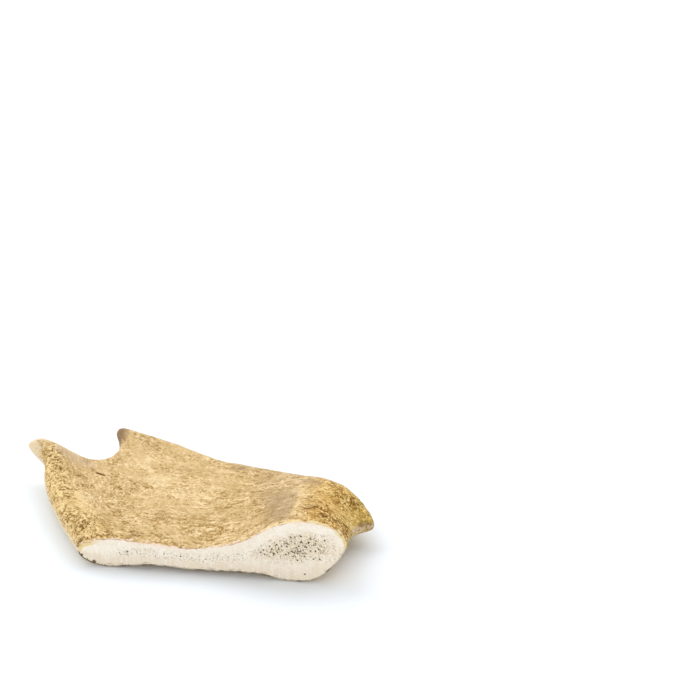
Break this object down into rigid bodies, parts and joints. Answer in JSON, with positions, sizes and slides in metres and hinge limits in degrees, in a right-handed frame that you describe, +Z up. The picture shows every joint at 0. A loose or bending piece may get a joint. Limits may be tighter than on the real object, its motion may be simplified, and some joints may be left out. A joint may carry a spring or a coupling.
{
  "type": "fallow deer antler piece",
  "caption": "Sawn piece of fallow deer antler: flat palm with a long and a short tine, a thick beam end with a small spur, and one flat sawn face.",
  "frame": {"origin": "on the surface that the piece lies on, under the middle of its bounding box", "axes": "+X along the saw cut from the long tine towards the spur, +Y from the sawn face back across the palm, +Z up"},
  "size_m": [0.1324, 0.085, 0.0225],
  "materials": {
    "antler": "dry grained antler crust with a pale sawn face"
  },
  "bodies": {
    "root": {"antler": "antler"}
  },
  "joints": []
}
